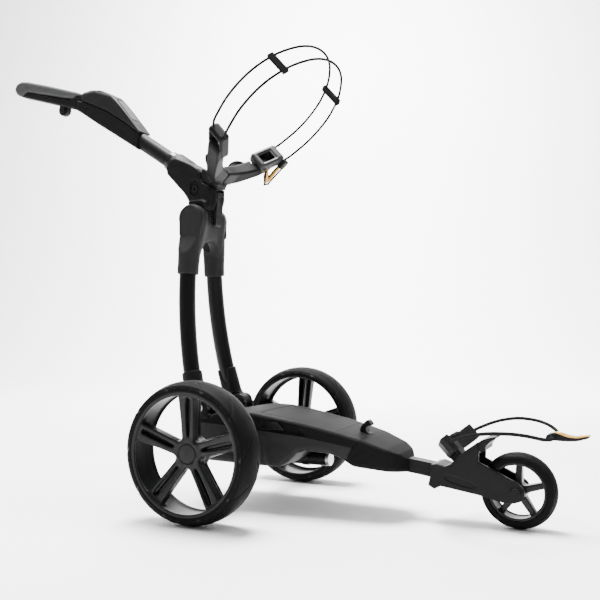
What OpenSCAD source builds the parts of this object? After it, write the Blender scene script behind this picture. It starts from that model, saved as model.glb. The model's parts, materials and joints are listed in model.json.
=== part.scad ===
/* [Wheels] */
// Radius of a rear tyre
wheel_r = 148; // [146:1:150]
// Width of a rear tyre
wheel_w = 78; // [60:1:80]
// Outside width across the rear tyres
track_w = 600; // [596:1:610]
// Radius of the front tyre
front_r = 77; // [75:1:78]
// Width of the front tyre
front_w = 46; // [40:1:46]
// Distance from the rear axle to the front axle
wheelbase = 609; // [607:1:612]
// Number of spokes in each wheel
spokes = 5; // [5:1:7]

/* [Frame] */
// Radius of a post tube
post_r = 19.5; // [18:0.5:19.5]
// Thickness of the moulded shells
wall = 3; // [2.5:0.5:3.5]
// Radius of the stem tube under the control housing
stem_r = 20; // [18:0.5:20]
// Half width of the folding neck between the yoke ears
neck_half = 37; // [35:0.5:37]

/* [Straps] */
// Radius of an upper strap cord
upper_cord_r = 2.8; // [2.5:0.1:3]
// Radius of a lower strap cord
lower_cord_r = 3.6; // [3:0.1:4]
// Distance between the two upper cords
cord_gap = 44; // [40:1:46]

/* [Hidden] */
$fn = 64;
eps = 0.01;

// Distance forward of the part's origin at which the rear axle stands
axle_x = 26;
axle_z = wheel_r;
pin_fit = 0.05;

// Height of the deck and of the seam between the shells along the body
deck_line = [
    [-105, 200], [-56, 200], [-44, 210], [0, 217], [50, 215], [100, 208], [150, 200], [200, 191],
    [250, 180], [300, 167], [350, 149], [372, 138], [384, 122]
];
seam_line = [[-105, 190], [0, 185], [66, 179], [175, 169], [275, 153], [324, 141], [366, 132], [384, 122]];
// Half width of the body along its length
plan_line = [
    [-105, 96], [-96, 108], [0, 110], [100, 108], [150, 102], [200, 97], [250, 92], [300, 86],
    [350, 72], [368, 54], [379, 34], [384, 16]
];
// Underside of the lower shell, from the nose to the rear
keel_line = [
    [384, 99], [350, 103], [280, 112], [264, 122], [246, 131], [229, 136], [176, 139], [156, 132],
    [136, 113], [116, 101], [-80, 103], [-97, 118], [-105, 136]
];
nose_x = 304;
tip_x = 384;

// Battery and its bay in the deck
bay_x0 = 60;
bay_x1 = 241;
bay_half = 79;
bay_floor = 144;
lid_t = 8;
latch_x = 278;
latch_z = 166;

// Hinge of the posts, and the arc along which each post bends
hinge_x = -82;
hinge_z = 220;
hinge_r = 18;
hinge_y = 84.6;
post_arc_r = 1120;
post_top_x = -146;
post_top_z = 530;
post_top_y = 59;
post_lean = 4.7;

// Folding pivot of the neck in the yoke
pivot_x = -141;
pivot_z = 660;
ear_r = 33;
yoke_half = 58;
leg_r = 24.5;
lever_x = -99;
lever_z = 716;

// Reduction gear on the rear axle
tooth_pitch = 2;
gear_teeth = 36;
pinion_teeth = 9;
gear_r = gear_teeth * tooth_pitch / 2;
pinion_r = pinion_teeth * tooth_pitch / 2;
pinion_x = -(gear_r + pinion_r);
gear_y0 = 24;
gear_y1 = 42;

// Bag cradle at the top of the neck, tilted with the bag
cradle_tilt = 42.2;
pad_mid = 623;
cradle_mid = 626;
pad_in = [77, 517];
pad_out = [134, 565];

// Axle of the speed dial under the grip
dial_x = -574;
dial_z = 975;
dial_r = 16;

// Route of each upper strap cord, as distance to the side and distance from the trolley
upper_route = [
    [-140.5, 552.2], [-146, 557], [-154, 567], [-163, 590], [-172, 620], [-175, 650], [-173, 680],
    [-165, 710], [-151, 737],
    [-132, 762], [-108, 783], [-80, 801], [-50, 813], [-17, 819], [17, 819], [50, 813], [80, 801],
    [108, 783], [132, 762], [151, 737], [165, 710], [173, 680], [175, 650], [172, 620], [163, 590],
    [154, 567], [146, 557], [140.5, 552.2]
];
// Route of the right lower strap cord, ahead of the axle, to the right and above the ground
lower_route = [
    [492, -88, 178], [503, -104, 184], [517, -119, 190], [533, -130, 196], [552, -136, 201], [575, -137, 205],
    [597, -132, 206], [620, -121, 205], [640, -109, 202], [655, -97, 198], [668, -80, 193],
    [676, -60, 190], [679, -38, 188], [678, -20, 188], [672, -11, 188]
];

black = [0.13, 0.13, 0.14];
satin = [0.24, 0.24, 0.25];
grey = [0.36, 0.36, 0.37];
light = [0.5, 0.5, 0.51];
steel = [0.7, 0.7, 0.72];
yellow = [0.9, 0.65, 0.15];

// Puts a piece drawn about the rear axle's foot into the part's frame
module placed() translate([axle_x, 0, 0]) children();

// Outline drawn in X and Z, standing between two Y planes
module side(points, y0, y1) {
    translate([0, y1, 0]) rotate([90, 0, 0]) linear_extrude(y1 - y0) polygon(points);
}

// Round bar along Y
module rod(x, z, r, y0, y1) {
    translate([x, y0, z]) rotate([-90, 0, 0]) cylinder(r = r, h = y1 - y0);
}

// Round bar between two points
module strut(p, q, r) {
    d = q - p;
    turn = [0, acos(d.z / norm(d)), atan2(d.y, d.x)];
    translate(p) rotate(turn) cylinder(r = r, h = norm(d));
}

module slab(x0, x1, y0, y1, z0, z1) translate([x0, y0, z0]) cube([x1 - x0, y1 - y0, z1 - z0]);

// The same piece on the left and on the right
module both_sides() {
    children();
    mirror([0, 1, 0]) children();
}

// Rectangle with round corners, centred
module round_rect(w, h, r) {
    square([w - 2 * r, h], center = true);
    square([w, h - 2 * r], center = true);
    for (i = [-1, 1], j = [-1, 1]) translate([i * (w / 2 - r), j * (h / 2 - r)]) circle(r);
}

// ---- Wheels ----

// Tyre about Y with round shoulders, seated on a rim
module tyre(r, bead_r, w, shoulder) {
    half = [
        [bead_r, w / 2 - 3], [bead_r + 3, w / 2], [r - shoulder, w / 2],
        [r - 0.55 * shoulder, w / 2 - 0.25 * shoulder], [r - 0.22 * shoulder, w / 2 - 0.7 * shoulder],
        [r - 0.08 * shoulder, w / 2 - 1.2 * shoulder], [r, 0.08 * w]
    ];
    rotate([90, 0, 0]) rotate_extrude($fn = 120)
        polygon(concat(half, [for (k = [6:-1:0]) [half[k].x, -half[k].y]]));
}

// Barrel of a rim with a lip at each edge
module barrel(r, inner_r, w, lip) {
    rotate([90, 0, 0]) rotate_extrude($fn = 120)
        polygon([
            [inner_r, -w / 2 + 2], [inner_r + 4, -w / 2], [r, -w / 2], [r, -w / 2 + lip],
            [r - 5, -w / 2 + lip + 5],
            [r - 5, w / 2 - lip - 5], [r, w / 2 - lip], [r, w / 2], [inner_r + 4, w / 2], [inner_r, w / 2 - 2]
        ]);
}

// Spokes of a rear wheel: a wide bar and a thin bar with a long slot between them
module twin_spokes() {
    bar = [[18, -12], [122, -17], [122, 20], [18, 13]];
    slot = [[36, -5], [106, -11], [113, -4], [112, 3], [38, 4]];
    intersection() {
        rotate([90, 0, 0]) linear_extrude(wheel_w, center = true) for (k = [0:spokes - 1])
            rotate(88 + k * 360 / spokes) difference() {
                polygon(bar);
                polygon(slot);
            }
        rotate([90, 0, 0]) rotate_extrude($fn = 120)
            polygon([[16, 20], [60, 25], [124, 34], [124, 6], [60, -14], [16, -20]]);
    }
}

// Rear rim with its outer face towards -Y
module rear_rim() {
    difference() {
        union() {
            barrel(wheel_r - 13, wheel_r - 28, wheel_w - 3, 7);
            twin_spokes();
            rod(0, 0, 27, -19, 30);
        }
        rod(0, 0, 20.3, -wheel_w, -10);
        rod(0, 0, 6 + pin_fit, -wheel_w, wheel_w);
    }
}

wheel_y = (track_w - wheel_w) / 2;
module at_right_wheel() translate([0, -wheel_y, axle_z]) children();
module at_left_wheel() mirror([0, 1, 0]) at_right_wheel() children();

module rim_right() color(grey) placed() at_right_wheel() rear_rim();
module rim_left() color(grey) placed() at_left_wheel() rear_rim();
module rear_tyre() tyre(wheel_r, wheel_r - 13, wheel_w, 12);
module tyre_right() color(black) placed() at_right_wheel() rear_tyre();
module tyre_left() color(black) placed() at_left_wheel() rear_tyre();

// Round cap in the middle of a rear wheel, pressed to release the wheel
module hub_cap() {
    rotate([90, 0, 0]) rotate_extrude()
        polygon([[0, 14], [18.5, 14], [20, 16], [20, 21], [18, 22.5], [0, 23.5]]);
}
module hub_cap_right() color(black) placed() at_right_wheel() hub_cap();
module hub_cap_left() color(black) placed() at_left_wheel() hub_cap();

module at_front_wheel() translate([wheelbase, 0, front_r]) children();
module front_tyre() color(black) placed() at_front_wheel() tyre(front_r, front_r - 17, front_w, 11);
module front_rim() {
    color(grey) placed() at_front_wheel() difference() {
        union() {
            barrel(front_r - 17, front_r - 25, front_w - 4, 5);
            intersection() {
                rotate([90, 0, 0]) linear_extrude(front_w, center = true) for (k = [0:spokes - 1])
                    rotate(88 + k * 360 / spokes) polygon([[10, -7], [56, -6], [56, 6], [10, 7]]);
                rotate([90, 0, 0]) rotate_extrude()
                    polygon([[6, 15], [56, 9], [56, -9], [6, -15]]);
            }
            rod(0, 0, 16, -17, 17);
        }
        rod(0, 0, 11.02, -20, -10);
        rod(0, 0, 11.02, 10, 20);
        rod(0, 0, 6, -20, 20);
    }
}
module front_bearings() {
    color(steel) placed() at_front_wheel() both_sides() difference() {
        rod(0, 0, 11, 10, 17);
        rod(0, 0, 5 + pin_fit, 9, 18);
    }
}
module front_axle() {
    color(steel) placed() at_front_wheel() {
        rod(0, 0, 5, -42, 42);
        both_sides() rod(0, 0, 9.5, 38, 43);
    }
}

// ---- Drive ----

// Spur gear about Y with straight-sided teeth
module spur(teeth, y0, y1, bore) {
    pitch_r = teeth * tooth_pitch / 2;
    difference() {
        union() {
            rod(0, 0, pitch_r - 0.65 * tooth_pitch, y0, y1);
            translate([0, y1, 0]) rotate([90, 0, 0]) linear_extrude(y1 - y0) for (k = [0:teeth - 1])
                rotate(k * 360 / teeth) polygon([
                    [pitch_r - 1.6, -1.45], [pitch_r + 0.45 * tooth_pitch, -0.6],
                    [pitch_r + 0.45 * tooth_pitch, 0.6], [pitch_r - 1.6, 1.45]
                ]);
        }
        rod(0, 0, bore, y0 - 1, y1 + 1);
    }
}

module drive_shaft() color(steel) placed() rod(0, axle_z, 6, -wheel_y - 9, wheel_y + 9);
module drive_gear() {
    color(steel) placed() translate([0, 0, axle_z]) spur(gear_teeth, gear_y0, gear_y1, 6 + eps);
}
module motor_pinion() {
    color(steel) placed() translate([pinion_x, 0, axle_z]) {
        rotate([0, 180 / pinion_teeth, 0]) spur(pinion_teeth, gear_y0, gear_y1, 3);
        rod(0, 0, 3 + eps, 10, 46);
    }
}

// Outline shared by the gearbox and its hollow, grown by a margin
module gear_hull(margin, y0, y1) {
    rod(0, axle_z, gear_r + margin, y0, y1);
    rod(pinion_x, axle_z, pinion_r + margin, y0, y1);
    slab(pinion_x, 0, y0, y1, axle_z - pinion_r - margin, axle_z + pinion_r + margin);
}
module gearbox_housing() {
    color(satin) placed() difference() {
        gear_hull(5.5, gear_y0 - 5, gear_y1 + 5);
        gear_hull(2.5, gear_y0 - 2, gear_y1 + 2);
        rod(0, axle_z, 7, 0, 60);
        rod(pinion_x, axle_z, 5, 10, 46.5);
    }
}
module motor() {
    color(satin) placed() difference() {
        union() {
            rod(pinion_x, axle_z, 27, -68, gear_y0 - 5);
            rod(pinion_x, axle_z, 12, -76, -68);
        }
        rod(pinion_x, axle_z, 3.4, 9, 30);
    }
}
module controller_box() color(satin) placed() slab(12, 54, -76, 8, 106, 138);
module axle_tubes() {
    color(black) placed() for (s = [-1, 1]) difference() {
        union() {
            rod(0, axle_z, 20, s > 0 ? gear_y1 + 5 : -219, s > 0 ? 219 : -80);
            rod(0, axle_z, 25, s > 0 ? 113 : -121, s > 0 ? 121 : -113);
        }
        rod(0, axle_z, 9, -220, 220);
        rod(0, axle_z, 14.02, s > 0 ? 208 : -220, s > 0 ? 220 : -208);
    }
}
module axle_bearings() {
    color(steel) placed() both_sides() difference() {
        rod(0, axle_z, 14, 208, 218);
        rod(0, axle_z, 6 + pin_fit, 207, 219);
    }
}

// ---- Body ----

function heights(line, x0, x1, drop) = concat(
    [[x0, lookup(x0, line) - drop]],
    [for (p = line) if (p.x > x0 && p.x < x1) [p.x, p.y - drop]],
    [[x1, lookup(x1, line) - drop]]
);
function reversed(list) = [for (i = [len(list) - 1:-1:0]) list[i]];

// Column of the body's plan between two X planes, drawn in by a margin
module plan(x0, x1, margin) {
    edge = heights(plan_line, x0, x1, margin);
    mirrored = [for (p = reversed(edge)) [p.x, -p.y]];
    translate([0, 0, 80]) linear_extrude(160) polygon(concat(edge, mirrored));
}

// Band between two height lines
module band(top, bottom, x0, x1, top_drop, bottom_drop) {
    outline = concat(heights(top, x0, x1, top_drop), reversed(heights(bottom, x0, x1, bottom_drop)));
    side(outline, -120, 120);
}

// Outline of the scoop in each flank, grown by a margin
function scoop(margin) = [
    [44 - margin, 186 - margin], [92 + margin, 181 - margin], [78 + margin, 203 + margin],
    [47 - margin, 206 + margin]
];

module deck_shell(x0, x1, cut_x0, cut_x1) {
    difference() {
        intersection() {
            band(deck_line, seam_line, x0, x1, 0, 0);
            plan(x0, x1, 0);
        }
        intersection() {
            band(deck_line, seam_line, cut_x0, cut_x1, wall, 20);
            plan(cut_x0, cut_x1, wall);
        }
    }
}

module upper_shell() {
    color(grey) placed() difference() {
        union() {
            deck_shell(-105, nose_x, -105 + wall, nose_x + 1);
            both_sides() slab(latch_x - 8, latch_x + 8, 12, 17, latch_z - 8, latch_z + 4);
        }
        rod(latch_x, latch_z, 3.5 + pin_fit, -30, 30);
        slab(bay_x0, bay_x1, -bay_half, bay_half, 120, 240);
        slab(latch_x - 17, latch_x + 11, -11.9, 11.9, 150, 240);
        both_sides() side(scoop(0), 90, 120);
    }
}
module nose_cover() {
    color(grey) placed() difference() {
        deck_shell(nose_x + 0.4, tip_x, nose_x, tip_x - wall);
        arm_socket();
    }
}

// Room for the rectangular front arm, which slopes down out of the nose
module arm_socket() at_front_arm() translate([-1, -15.3, -14.8]) cube([128, 30.6, 29.6]);

module lower_shell() {
    keel = concat(heights(seam_line, -105, tip_x, 0), keel_line);
    hollow_rear = [
        [-102, 195], [bay_x0 - 4, 195], [bay_x0 - 4, 106], [-79, 106], [-94, 119], [-102, 138]
    ];
    hollow_nose = [[bay_x1 + 6, 170], [380, 135], [381, 103], [350, 107], [284, 115], [266, 127],
        [bay_x1 + 6, 136]];
    color(satin) placed() difference() {
        union() {
            intersection() {
                side(keel, -120, 120);
                plan(-105, tip_x, 0);
            }
            side([[112, 142], [120, 112], [196, 112], [222, 140]], -46, 58);
        }
        intersection() {
            union() {
                side(hollow_rear, -120, 120);
                side(hollow_nose, -120, 120);
                slab(bay_x0 - 0.5, bay_x1 + 0.5, -bay_half, bay_half, bay_floor, 200);
            }
            plan(-105 + wall, tip_x - wall, wall);
        }
        rod(0, axle_z, 20.1, -125, 125);
        arm_socket();
    }
}

// Grey panels set into the scoop on each side of the body
module side_inserts() {
    color(light) placed() both_sides() side(scoop(2), 101.5, 104.5);
}

module battery_connector() {
    color(black) placed() difference() {
        slab(78, 102, -20, 20, bay_floor, bay_floor + 7);
        for (y = [-12, 0, 12]) slab(86, 94, y - 2, y + 2, bay_floor + 2, bay_floor + 8);
    }
}
module battery_case() {
    top = heights(deck_line, bay_x0 + 2, bay_x1 - 2, lid_t);
    color(black) placed() difference() {
        side(concat(top, [[bay_x1 - 2, bay_floor + 1], [bay_x0 + 2, bay_floor + 1]]), -76, 76);
        slab(77, 103, -21, 21, bay_floor, bay_floor + 9);
    }
}
module battery_lid() {
    top = heights(deck_line, bay_x0 + 1, bay_x1 - 1, 0.5);
    base = reversed(heights(deck_line, bay_x0 + 1, bay_x1 - 1, lid_t));
    color(grey) placed() side(concat(top, base), -bay_half + 1, bay_half - 1);
}

// Release tab in front of the battery, turning on its own pin
module battery_latch() {
    tab = [
        [-14, 4], [-14, 16], [-8, 26], [2, 35], [9, 33], [9, 26], [3, 22], [6, 4], [4, -4], [-4, -4]
    ];
    color(black) placed() translate([latch_x, 0, latch_z]) {
        side(tab, -9, 9);
        rod(0, 0, 3.5, -16.5, 16.5);
    }
}

// ---- Posts ----

// Lugs on the rear of the body that carry one post each
module post_brackets() {
    inner = hinge_y - 13.3;
    outer = hinge_y + 13.3;
    color(black) placed() both_sides() difference() {
        union() {
            rod(hinge_x, hinge_z, 20, inner - 9, outer + 9);
            slab(hinge_x - 20, hinge_x + 22, inner - 9, outer + 9, 200, hinge_z);
        }
        rod(hinge_x, hinge_z, hinge_r + 0.6, inner, outer);
        slab(hinge_x - 30, hinge_x + 30, inner, outer, hinge_z - 15, hinge_z + 30);
        rod(hinge_x, hinge_z, 5 + eps, 40, 120);
    }
}
module post_hinge_pins() {
    color(steel) placed() both_sides() {
        rod(hinge_x, hinge_z, 5, hinge_y - 22, hinge_y + 23);
        rod(hinge_x, hinge_z, 9, hinge_y + 22.3, hinge_y + 26);
    }
}

// One bent tube on the left, leaning out towards its foot
module post(r, top_turn, foot_turn, facets = 64) {
    translate([0, post_top_y, post_top_z]) rotate([post_lean, 0, 0])
        translate([post_top_x + post_arc_r, 0, 0]) rotate([90, 0, 0]) rotate([0, 0, 180 + top_turn])
            rotate_extrude(angle = foot_turn - top_turn, $fn = 720)
                translate([post_arc_r, 0]) circle(r, $fn = facets);
}
module tube_post() {
    difference() {
        post(post_r, -2.5, 15);
        post(post_r - 2.5, -3, 15.5);
    }
}
module post_left() color(black) placed() tube_post();
module post_right() color(black) placed() mirror([0, 1, 0]) tube_post();

function post_x(z) = post_top_x + post_arc_r - sqrt(post_arc_r * post_arc_r - pow(post_top_z - z, 2));
function post_y(z) = post_top_y + (post_top_z - z) * tan(post_lean);

module lower_sleeves() {
    foot = [post_x(246), post_y(246), 246];
    top = [post_x(299), post_y(299), 299];
    web = [[-100, 222], [-65, 222], [-70, 236], [-88, 250], [-132, 250]];
    color(black) placed() both_sides() difference() {
        union() {
            rod(hinge_x, hinge_z, hinge_r, hinge_y - 13, hinge_y + 13);
            side(web, hinge_y - 13, hinge_y + 13);
            strut(foot, top, 24);
        }
        post(post_r, 5, 15);
        rod(hinge_x, hinge_z, 5 + pin_fit, 60, 110);
    }
}

// Clevis that joins both posts and carries the folding neck: round sleeves below, flat ears above
module yoke() {
    ear_in = neck_half + 0.7;
    bridge = [[-140, 572], [-124, 572], [-109, 640], [-108, 660], [-110, 674], [-140, 674]];
    color(satin) placed() difference() {
        union() {
            both_sides() {
                post(leg_r, -2.6, 0.15);
                hull() {
                    post(leg_r - 0.3, -3.2, -2.59, 32);
                    rod(pivot_x, pivot_z, ear_r, ear_in, yoke_half, $fn = 32);
                }
                rod(pivot_x, pivot_z, ear_r, ear_in, yoke_half);
            }
            side(bridge, -46, 46);
        }
        rod(pivot_x, pivot_z, 29.5, -ear_in, ear_in);
        slab(-200, pivot_x, -ear_in, ear_in, 520, 700);
        translate([-200, 0, 572]) rotate([0, 90, 0]) cylinder(r = 34, h = 150);
        both_sides() post(post_r, -2.5, 2);
        rod(pivot_x, pivot_z, 6 + eps, -90, 90);
        slab(-112, -80, -16, 16, 636, 700);
        both_sides() ear_cover(40);
    }
}

// Flat cover let into the outside of an ear
module ear_cover(thickness) {
    translate([0, yoke_half + thickness, 0]) rotate([90, 0, 0]) linear_extrude(thickness) {
        translate([pivot_x, pivot_z]) circle(30);
        translate([pivot_x, 650]) round_rect(55, 30, 8);
    }
}
module ear_covers() color(satin) placed() both_sides() ear_cover(3);
module pivot_pin() color(steel) placed() rod(pivot_x, pivot_z, 6, -yoke_half, yoke_half);

// ---- Neck and upper cradle ----

stem_foot = [-200, 0, 790];
stem_top = [-340, 0, 880];

module folding_neck() {
    outline = [
        [-170, 664], [-160, 692], [-177, 722], [-203, 748], [-236, 782], [-210, 818], [-165, 800],
        [-133, 778], [-130, 752], [-108, 740], [-108, 677], [-150, 677]
    ];
    face = [[-108, 740], [-92, 731], [-92, 706], [-98, 684], [-104, 677], [-112, 677], [-120, 740]];
    root = [[-166, 664], [-158, 692], [-164, 712], [-112, 712], [-112, 677], [-150, 677]];
    color(black) placed() difference() {
        union() {
            side(outline, -30, 30);
            side(face, -22, 22);
            side(root, -neck_half, neck_half);
            rod(pivot_x, pivot_z, 28.5, -neck_half, neck_half);
        }
        rod(pivot_x, pivot_z, 6 + pin_fit, -50, 50);
        strut(stem_foot, stem_top, stem_r);
        slab(-118, -70, -15.5, 15.5, 640, 735);
        both_sides() translate([-148, 35, 735]) rotate([90, 0, 0]) linear_extrude(10) round_rect(24, 44, 11);
        rod(-148, 732, 5.02, -40, -14);
    }
}

// Boss with a screw thread for accessories, in the recess on the right side
module accessory_insert() {
    color(light) placed() difference() {
        union() {
            rod(-148, 732, 9, -29, -25);
            rod(-148, 732, 5, -25, -14);
        }
        rod(-148, 732, 3, -30, -15);
    }
}

stem_run = (stem_top - stem_foot) / norm(stem_top - stem_foot);
module stem_collar() {
    color(light) placed() difference() {
        strut(stem_foot + 27 * stem_run, stem_foot + 42 * stem_run, 24);
        strut(stem_foot, stem_top, stem_r);
    }
}
module stem_tube() {
    color(satin) placed() difference() {
        strut(stem_foot, stem_top, stem_r);
        strut(stem_foot + 12 * stem_run, stem_top - 12 * stem_run, stem_r - 2.5);
    }
}

// Release lever on the front of the neck, hooked over the yoke's front wall
module fold_lever() {
    blade = [
        [-12, 10], [2, 12], [8, 4], [5, -34], [3, -50], [4, -62], [2, -72], [-5, -74], [-8, -50],
        [-8, -34], [-12, 0]
    ];
    color(black) placed() translate([lever_x, 0, lever_z]) {
        side(blade, -15, 15);
        rod(-4, 0, 3, -15.3, 15.3);
    }
}

// Frame of the tilted cradle: to the right, away from the trolley, and up along the bag
module in_cradle() rotate([0, -cradle_tilt, 0]) rotate([0, 0, -90]) children();

module upper_cradle() {
    arm = [
        [0, 424], [24, 420], [60, 446], [92, 478], [124, 510], [114, 530], [86, 510], [58, 488],
        [30, 474], [0, 468]
    ];
    color(black) placed() {
        difference() {
            in_cradle() for (s = [0, 1]) mirror([s, 0, 0]) difference() {
                translate([0, 0, cradle_mid - 14]) linear_extrude(36) polygon(arm);
                at_pad() pad_block();
            }
            in_cradle() for (s = [0, 1], k = [0:2]) mirror([s, 0, 0])
                translate([38 + 24 * k, 448 + 22 * k, cradle_mid + 3]) rotate([0, 0, 42])
                    cube([15, 18, 30]);
        }
        side([[-129.5, 752.2], [-107.8, 740.4], [-100, 752], [-110, 774], [-131, 782]], -29, 29);
        side([[-110, 741.5], [-91.5, 731.2], [-88, 745], [-100, 765], [-112, 765]], -22, 22);
    }
}

// Hollow block at the end of a cradle arm that grips the bag and the strap
module at_pad() {
    run = pad_out - pad_in;
    translate([pad_in.x, pad_in.y, pad_mid]) rotate([0, 0, atan2(run.y, run.x)]) children();
}
module pad_block() translate([0, -28, -22]) cube([norm(pad_out - pad_in), 28, 52]);
module strap_pad() {
    at_pad() difference() {
        pad_block();
        translate([4, -29, -18]) cube([norm(pad_out - pad_in) - 8, 24, 44]);
        translate([17, -6, -8]) cube([34, 8, 24]);
    }
}
module strap_pad_right() color(grey) placed() in_cradle() strap_pad();
module strap_pad_left() color(grey) placed() in_cradle() mirror([1, 0, 0]) strap_pad();

// ---- Straps ----

// Tube of one radius along a list of points, closed at both ends
module cord(route, r, sides) {
    last = len(route) - 1;
    function unit(v) = v / norm(v);
    function heading(i) = unit(route[min(i + 1, last)] - route[max(i - 1, 0)]);
    function frame_up(i) = unit(cross(heading(i), abs(heading(i).z) > 0.9 ? [1, 0, 0] : [0, 0, 1]));
    function ring(i) = [
        for (k = [0:sides - 1])
            let (u = frame_up(i), v = cross(heading(i), u), a = 360 * k / sides)
                route[i] + r * (cos(a) * u + sin(a) * v)
    ];
    points = [for (i = [0:last]) each ring(i)];
    sides_faces = [
        for (i = [0:last - 1], k = [0:sides - 1])
            let (n = (k + 1) % sides, a = i * sides, b = a + sides)
                each [[a + k, a + n, b + n], [a + k, b + n, b + k]]
    ];
    first_cap = [for (k = [sides - 1:-1:0]) k];
    last_cap = [for (k = [0:sides - 1]) last * sides + k];
    polyhedron(points, concat([first_cap], sides_faces, [last_cap]));
}

module upper_cord(height) {
    placed() in_cradle() cord([for (p = upper_route) [p.x, p.y, height]], upper_cord_r, 8);
}
module upper_strap_high() color(black) upper_cord(cradle_mid + cord_gap / 2);
module upper_strap_low() color(black) upper_cord(cradle_mid - cord_gap / 2);
module lower_strap_right() color(black) placed() cord(lower_route, lower_cord_r, 8);
module lower_strap_left() color(black) placed() mirror([0, 1, 0]) cord(lower_route, lower_cord_r, 8);

// Two flat ties that hold the upper cords side by side
module strap_bands() {
    color(black) placed() in_cradle() for (s = [-1, 1])
        translate([s * 141.5, 749.5, cradle_mid]) rotate([0, 0, s * 37.2]) difference() {
            cube([9, 14, cord_gap + 14], center = true);
            for (h = [-1, 1]) translate([0, 0, h * cord_gap / 2]) rotate([90, 0, 0])
                cylinder(r = upper_cord_r + 0.4, h = 20, center = true);
        }
}

// Hook that joins the end of the upper strap to the left pad
module upper_strap_hook() {
    color(yellow) placed() in_cradle() {
        translate([-146, 546, cradle_mid - 31]) cube([20, 24, 12], center = true);
        translate([0, 0, cradle_mid - 35]) linear_extrude(7) difference() {
            polygon([[-154, 538], [-137, 538], [-122, 492], [-130, 486], [-138, 488]]);
            polygon([[-147, 536], [-142, 536], [-129, 494], [-133, 495]]);
        }
    }
}
module lower_strap_hook() {
    bar = [[668, 182], [668, 194], [680, 198], [692, 196], [706, 191], [722, 190], [742, 195],
        [742, 189], [722, 182], [700, 181]];
    color(yellow) placed() {
        side(bar, -9, 9);
        rod(670, 188, 6, -14, 14);
    }
}

// ---- Front end ----

module at_front_arm() translate([330, 0, 119.2]) rotate([0, 7.6, 0]) children();
module front_arm() {
    color(satin) placed() at_front_arm() difference() {
        translate([0, -15, -14.5]) cube([126, 30, 29]);
        translate([-1, -12.5, -12]) cube([128, 25, 24]);
    }
}

axle_boss = [wheelbase - 4, front_r];
module fork_blank() {
    cheek = [
        [434, 97], [437, 121], [447, 123], [464, 118], [477, 124], [507, 153], [533, 172], [536, 160],
        [535, 133], [610, 98], [610, 56], [584, 56], [538, 66], [456, 78], [443, 71], [430, 78]
    ];
    ramp = [[464, 117], [477, 124], [507, 153], [533, 172], [536, 160], [535, 150], [510, 130], [490, 112]];
    socket = [[430, 78], [434, 97], [437, 121], [447, 123], [476, 116], [476, 76], [456, 78], [443, 71]];
    both_sides() {
        side(cheek, 26, 36);
        rod(axle_boss.x, axle_boss.y, 22, 26, 36);
        rod(wheelbase, front_r, 11, 35, 38);
    }
    side(ramp, -30, 30);
    side(socket, -30, 30);
}
module fork() {
    color(black) placed() difference() {
        fork_blank();
        at_front_arm() translate([0, -15, -14.5]) cube([126, 30, 29]);
        both_sides() side([[466, 98], [472, 102], [522, 92], [530, 84], [522, 80], [472, 90]], 34.5, 40);
        rod(wheelbase, front_r, 5 + eps, -60, 60);
    }
}

// Upturned rest for the foot of the bag, curved above the front wheel
module bag_shelf() {
    rest = [
        [536.2, 152], [536, 160], [533, 172], [534, 174], [552, 181], [570, 186], [571, 182],
        [556, 172], [549, 163], [550, 156]
    ];
    color(black) placed() side(rest, -34, 34);
}

// Lower cradle: two arms that spread to each side of the bag
module lower_cradle() {
    arm = [[0, 0], [24, 0], [52, 14], [84, 32], [94, 46], [86, 56], [74, 54], [50, 34], [28, 22], [0, 16]];
    color(black) placed() difference() {
        translate([495, 0, 137]) rotate([0, -14, 0]) {
            both_sides() translate([-13, 0, 0]) rotate([90, 0, 90]) linear_extrude(24) polygon(arm);
            side([[-35, -20], [-15, -22], [11, -2], [11, 2], [-13, 2]], -24, 24);
        }
        fork_blank();
    }
}

// ---- Handle ----

module console_lower() {
    outline = [
        [-514, 990], [-485, 982], [-420, 954], [-360, 917], [-318, 886], [-320, 844], [-380, 881],
        [-443, 919], [-506, 959], [-518, 966]
    ];
    color(black) placed() difference() {
        side(outline, -24, 24);
        strut(stem_foot, stem_top, stem_r);
    }
}
module console_cover() {
    outline = [
        [-500, 988], [-498, 1007], [-470, 1012], [-440, 1009], [-402, 991], [-390, 979], [-314, 890],
        [-318, 886.4], [-360, 917.4], [-420, 954.4], [-485, 982.4]
    ];
    color(black) placed() difference() {
        side(outline, -25, 25);
        strut(stem_foot, stem_top, stem_r);
        side([[-492, 1006], [-491, 1025], [-438, 1025], [-440, 1006], [-470, 1009]], -21, 21);
        side([[-394, 980], [-375, 1000], [-325, 925], [-345, 922]], -15, 15);
    }
}
module display_screen() {
    screen = [[-491.5, 1006.2], [-491, 1008.3], [-470, 1011.3], [-441, 1008.2], [-441, 1006.3],
        [-470, 1009.2]];
    color("black") placed() side(screen, -20.5, 20.5);
}
module status_panel() {
    color(light) placed() side([[-390, 977.2], [-388.5, 978.4], [-343.5, 925.6], [-345, 924.3]], -14.5, 14.5);
}
module grip_core() {
    outline = [
        [-684, 1032], [-540, 997], [-523, 1005], [-500, 999], [-500.5, 987], [-514.5, 990.5], [-518.5, 965],
        [-540, 974], [-582, 986], [-672, 1012], [-710, 1023], [-694, 1033]
    ];
    color(black) placed() difference() {
        union() {
            side(outline, -17, 17);
            both_sides() {
                rod(dial_x, dial_z, 8, 9, 13);
                slab(dial_x - 8, dial_x + 8, 9, 13, dial_z, dial_z + 15);
            }
        }
        rod(dial_x, dial_z, dial_r + 1.5, -9, 9);
        rod(dial_x, dial_z, 3 + pin_fit, -12.5, 12.5);
    }
}
module grip_cover() {
    outline = [
        [-694, 1033.5], [-710.5, 1023.5], [-728, 1031], [-737, 1045], [-730, 1060], [-708, 1066],
        [-622, 1044],
        [-500.5, 1008], [-500.5, 1000], [-523, 1006], [-540, 998], [-684, 1033]
    ];
    color(light) placed() side(outline, -19, 19);
}
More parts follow.
